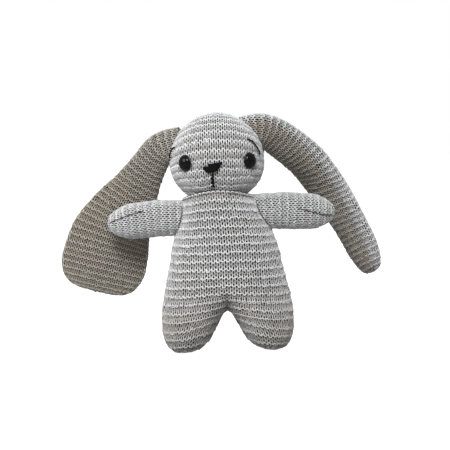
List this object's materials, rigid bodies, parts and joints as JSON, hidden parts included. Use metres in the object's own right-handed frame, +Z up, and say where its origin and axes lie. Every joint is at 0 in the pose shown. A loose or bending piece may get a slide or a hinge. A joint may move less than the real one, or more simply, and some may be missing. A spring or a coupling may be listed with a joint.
{
  "type": "stuffed bunny",
  "caption": "Knitted stuffed bunny with a round head, dome eyes, stub arms, two short legs and long floppy paddle ears, standing with its arms out.",
  "frame": {"origin": "on the floor, under the middle of the toy's box", "axes": "+Z up, the face looks along -Y, and +X is the toy's own left"},
  "size_m": [0.2614, 0.1032, 0.1936],
  "materials": {
    "knit": "matte",
    "filling": "matte",
    "eye_gloss": "gloss",
    "washer_plastic": "matte",
    "satin_thread": "satin",
    "sewing_thread": "matte"
  },
  "bodies": {
    "torso": {"body_cover": "knit", "body_filling": "filling", "arm_seam_left": "sewing_thread", "arm_seam_right": "sewing_thread", "back_seam": "sewing_thread", "crotch_seam": "sewing_thread"},
    "neck": {"neck_seam": "sewing_thread"},
    "head": {"head_cover": "knit", "head_filling": "filling", "eye_left": "eye_gloss", "eye_right": "eye_gloss", "eye_washer_left": "washer_plastic", "eye_washer_right": "washer_plastic", "nose_embroidery": "satin_thread", "mouth_stitch": "satin_thread", "eyebrow_left": "satin_thread", "eyebrow_right": "satin_thread", "ear_seam_left": "sewing_thread", "ear_seam_right": "sewing_thread", "crown_gather": "sewing_thread"},
    "arm_left": {"arm_cover_left": "knit", "arm_filling_left": "filling", "arm_side_seam_left": "sewing_thread"},
    "arm_right": {"arm_cover_right": "knit", "arm_filling_right": "filling", "arm_side_seam_right": "sewing_thread"},
    "ear_left": {"ear_cover_left": "knit", "ear_filling_left": "filling"},
    "ear_right": {"ear_cover_right": "knit", "ear_filling_right": "filling"}
  },
  "joints": [
    {"name": "head_tilt", "type": "hinge", "parent": "torso", "child": "neck", "pos_m": [0, -0.0156, 0.15404], "axis": [0, 1, 0], "range_deg": [-8, 8], "stiffness_Nm_per_rad": 0.6},
    {"name": "head_nod", "type": "hinge", "parent": "neck", "child": "head", "pos_m": [0, -0.0156, 0.15404], "axis": [1, 0, 0], "range_deg": [0, 12], "stiffness_Nm_per_rad": 0.6},
    {"name": "arm_lift_left", "type": "hinge", "parent": "torso", "child": "arm_left", "pos_m": [0.05083, -0.0156, 0.1115], "axis": [0, -1, 0], "range_deg": [-30, 20], "stiffness_Nm_per_rad": 0.08},
    {"name": "arm_lift_right", "type": "hinge", "parent": "torso", "child": "arm_right", "pos_m": [-0.04752, -0.0156, 0.109], "axis": [0, 1, 0], "range_deg": [-30, 30], "stiffness_Nm_per_rad": 0.08},
    {"name": "ear_lift_left", "type": "hinge", "parent": "head", "child": "ear_left", "pos_m": [0.04553, -0.00708, 0.17603], "axis": [0, -1, 0], "range_deg": [0, 40], "stiffness_Nm_per_rad": 0.3},
    {"name": "ear_lift_right", "type": "hinge", "parent": "head", "child": "ear_right", "pos_m": [-0.04923, -0.00577, 0.1643], "axis": [0, 1, 0], "range_deg": [0, 40], "stiffness_Nm_per_rad": 0.3}
  ]
}
